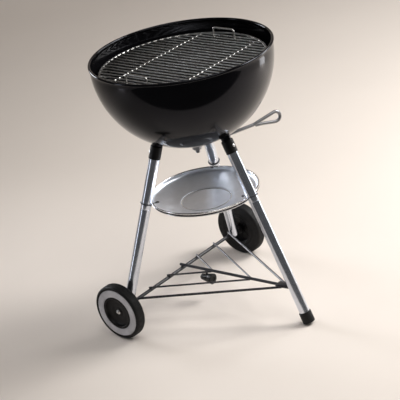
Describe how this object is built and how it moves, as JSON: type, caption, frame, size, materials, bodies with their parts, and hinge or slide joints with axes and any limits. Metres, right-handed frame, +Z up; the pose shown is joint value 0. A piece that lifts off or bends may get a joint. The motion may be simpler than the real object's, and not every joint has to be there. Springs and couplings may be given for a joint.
{
  "type": "kettle charcoal grill",
  "caption": "Open kettle charcoal grill: round enamelled bowl on splayed tube legs with wheels, ash pan, wire rack, vent sweep with lever, and lift-out grates.",
  "frame": {"origin": "on the floor, at the centre of the whole grill's footprint", "axes": "+Z up; X along the wheels' axle; -Y towards the single front leg, +Y towards the axle"},
  "size_m": [0.5484, 0.5426, 0.73],
  "materials": {
    "black_enamel": "high-gloss porcelain enamel",
    "black_plastic": "matte",
    "leg_aluminium": "polished tube with fine drawn lines",
    "pan_aluminium": "satin spun sheet",
    "rack_paint": "dark grey satin coating on wire",
    "tyre_rubber": "smooth hard rubber",
    "light_grey_plastic": "satin light grey",
    "hub_plastic": "moulded black",
    "bright_fastener": "bright plated",
    "grate_steel": "plated wire, satin",
    "lever_steel": "satin grey"
  },
  "bodies": {
    "stand": {"bowl": "black_enamel", "grate_brackets": "grate_steel", "sweep_collar": "lever_steel", "collar_screws": "bright_fastener", "leg_socket_front": "black_enamel", "leg_socket_left": "black_enamel", "leg_socket_right": "black_enamel", "leg_sleeve_front": "black_plastic", "leg_sleeve_left": "black_plastic", "leg_sleeve_right": "black_plastic", "upper_leg_front": "leg_aluminium", "upper_leg_left": "leg_aluminium", "upper_leg_right": "leg_aluminium", "lower_leg_front": "leg_aluminium", "lower_leg_left": "leg_aluminium", "lower_leg_right": "leg_aluminium", "leg_screws": "bright_fastener", "foot_cap": "black_plastic", "axle": "rack_paint", "hub_cap_left": "bright_fastener", "hub_cap_right": "bright_fastener", "rack_spine": "rack_paint", "rack_side_wires": "rack_paint", "rack_outer_struts": "rack_paint", "rack_inner_struts": "rack_paint", "rack_front_tab": "rack_paint", "rack_bumper": "black_plastic", "bumper_stub": "rack_paint", "pan_clip_front": "rack_paint", "pan_clip_left": "rack_paint", "pan_clip_right": "rack_paint"},
    "left_wheel": {"left_tyre": "tyre_rubber", "left_wheel_ring": "light_grey_plastic", "left_wheel_hub": "hub_plastic"},
    "right_wheel": {"right_tyre": "tyre_rubber", "right_wheel_ring": "light_grey_plastic", "right_wheel_hub": "hub_plastic"},
    "vent_sweep": {"sweep_blades": "lever_steel", "sweep_shaft": "lever_steel", "shaft_nut": "lever_steel", "lever_hub": "lever_steel", "lever_arm": "lever_steel", "lever_handle": "lever_steel", "cotter_pin": "lever_steel"},
    "ash_pan": {"ash_pan": "pan_aluminium"},
    "charcoal_grate": {"charcoal_grate": "grate_steel"},
    "cooking_grate": {"cooking_grate": "grate_steel", "cooking_grate_handles": "grate_steel"}
  },
  "joints": [
    {"name": "left_wheel_spin", "type": "hinge", "parent": "stand", "child": "left_wheel", "pos_m": [-0.25924, 0.16453, 0.0765], "axis": [1, 0, 0], "continuous": true},
    {"name": "right_wheel_spin", "type": "hinge", "parent": "stand", "child": "right_wheel", "pos_m": [0.25924, 0.16453, 0.0765], "axis": [1, 0, 0], "continuous": true},
    {"name": "vent_lever_turn", "type": "hinge", "parent": "stand", "child": "vent_sweep", "pos_m": [0, 0.03333, 0.46], "axis": [0, 0, 1], "range_deg": [-36, 36]},
    {"name": "ash_pan_drop", "type": "slide", "parent": "stand", "child": "ash_pan", "axis": [0, 0, -1], "range_m": [0, 0.15]},
    {"name": "charcoal_grate_lift", "type": "slide", "parent": "stand", "child": "charcoal_grate", "axis": [0, 0, 1], "range_m": [0, 0.25]},
    {"name": "cooking_grate_lift", "type": "slide", "parent": "charcoal_grate", "child": "cooking_grate", "axis": [0, 0, 1], "range_m": [0, 0.12]}
  ]
}
